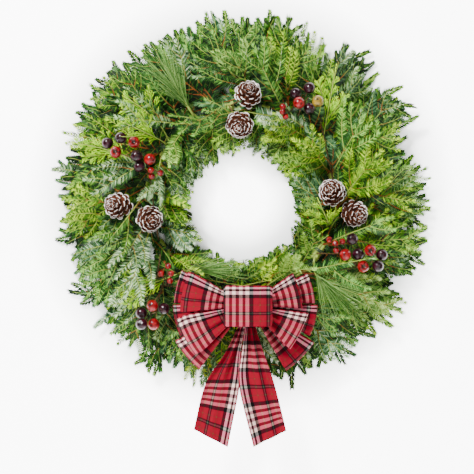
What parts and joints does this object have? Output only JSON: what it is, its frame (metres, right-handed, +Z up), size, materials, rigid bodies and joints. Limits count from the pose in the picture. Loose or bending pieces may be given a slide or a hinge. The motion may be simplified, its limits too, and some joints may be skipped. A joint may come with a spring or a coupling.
{
  "type": "evergreen wreath",
  "caption": "Round hanging wreath of fir bunches with cedar and pine sprays, frosted pine cones, glossy fruit picks and a tartan ribbon bow, on a wire clamp ring.",
  "frame": {"origin": "the point under the top of the ring's wire where the hook carries the wreath", "axes": "+X to the right as seen from the front, -Y out of the front, away from the wall, +Z up"},
  "size_m": [0.5862, 0.1393, 0.6938],
  "materials": {
    "ring_wire": "dark green enamelled steel wire",
    "tie_wire": "dull florist's wire",
    "fir_foliage": "living fir needles, glossy and dark above, pale beneath",
    "cedar_foliage": "satin scale leaves, bright yellow-green",
    "white_pine_foliage": "long soft needles, satin mid green",
    "cone_scales": "matt brown scales with frosted white tips",
    "fruit_red": "glossy lacquered red",
    "fruit_dark": "glossy lacquered dark plum",
    "fruit_olive": "glossy lacquered olive yellow",
    "tartan_ribbon": "matt woven tartan ribbon with wired edges"
  },
  "bodies": {
    "root": {"berries_1_dark": "fruit_dark", "berries_1_red": "fruit_red", "berries_2_dark": "fruit_dark", "berries_2_olive": "fruit_olive", "berries_2_red": "fruit_red", "berries_3_dark": "fruit_dark", "berries_3_red": "fruit_red", "berries_4_dark": "fruit_dark", "berries_4_red": "fruit_red", "bow_centre_loop": "tartan_ribbon", "bow_gather": "tartan_ribbon", "bow_inner_loop_1": "tartan_ribbon", "bow_inner_loop_2": "tartan_ribbon", "bow_inner_loop_3": "tartan_ribbon", "bow_inner_loop_4": "tartan_ribbon", "bow_outer_loop_1": "tartan_ribbon", "bow_outer_loop_2": "tartan_ribbon", "bow_outer_loop_3": "tartan_ribbon", "bow_outer_loop_4": "tartan_ribbon", "bow_outer_loop_5": "tartan_ribbon", "bow_outer_loop_6": "tartan_ribbon", "bow_tail_1": "tartan_ribbon", "bow_tail_2": "tartan_ribbon", "bow_tie_wire": "tie_wire", "cedar_spray_1": "cedar_foliage", "cedar_spray_2": "cedar_foliage", "cedar_spray_3": "cedar_foliage", "cedar_spray_4": "cedar_foliage", "cedar_spray_5": "cedar_foliage", "cedar_spray_6": "cedar_foliage", "fir_bunch_01": "fir_foliage", "fir_bunch_02": "fir_foliage", "fir_bunch_03": "fir_foliage", "fir_bunch_04": "fir_foliage", "fir_bunch_05": "fir_foliage", "fir_bunch_06": "fir_foliage", "fir_bunch_07": "fir_foliage", "fir_bunch_08": "fir_foliage", "fir_bunch_09": "fir_foliage", "fir_bunch_10": "fir_foliage", "fir_bunch_11": "fir_foliage", "fir_bunch_12": "fir_foliage", "fir_bunch_13": "fir_foliage", "fir_bunch_14": "fir_foliage", "fir_bunch_15": "fir_foliage", "fir_bunch_16": "fir_foliage", "pine_cone_1": "cone_scales", "pine_cone_2": "cone_scales", "pine_cone_3": "cone_scales", "pine_cone_4": "cone_scales", "pine_cone_5": "cone_scales", "pine_cone_6": "cone_scales", "pine_tuft_1": "white_pine_foliage", "pine_tuft_2": "white_pine_foliage", "pine_tuft_3": "white_pine_foliage", "wire_ring": "ring_wire"}
  },
  "joints": []
}
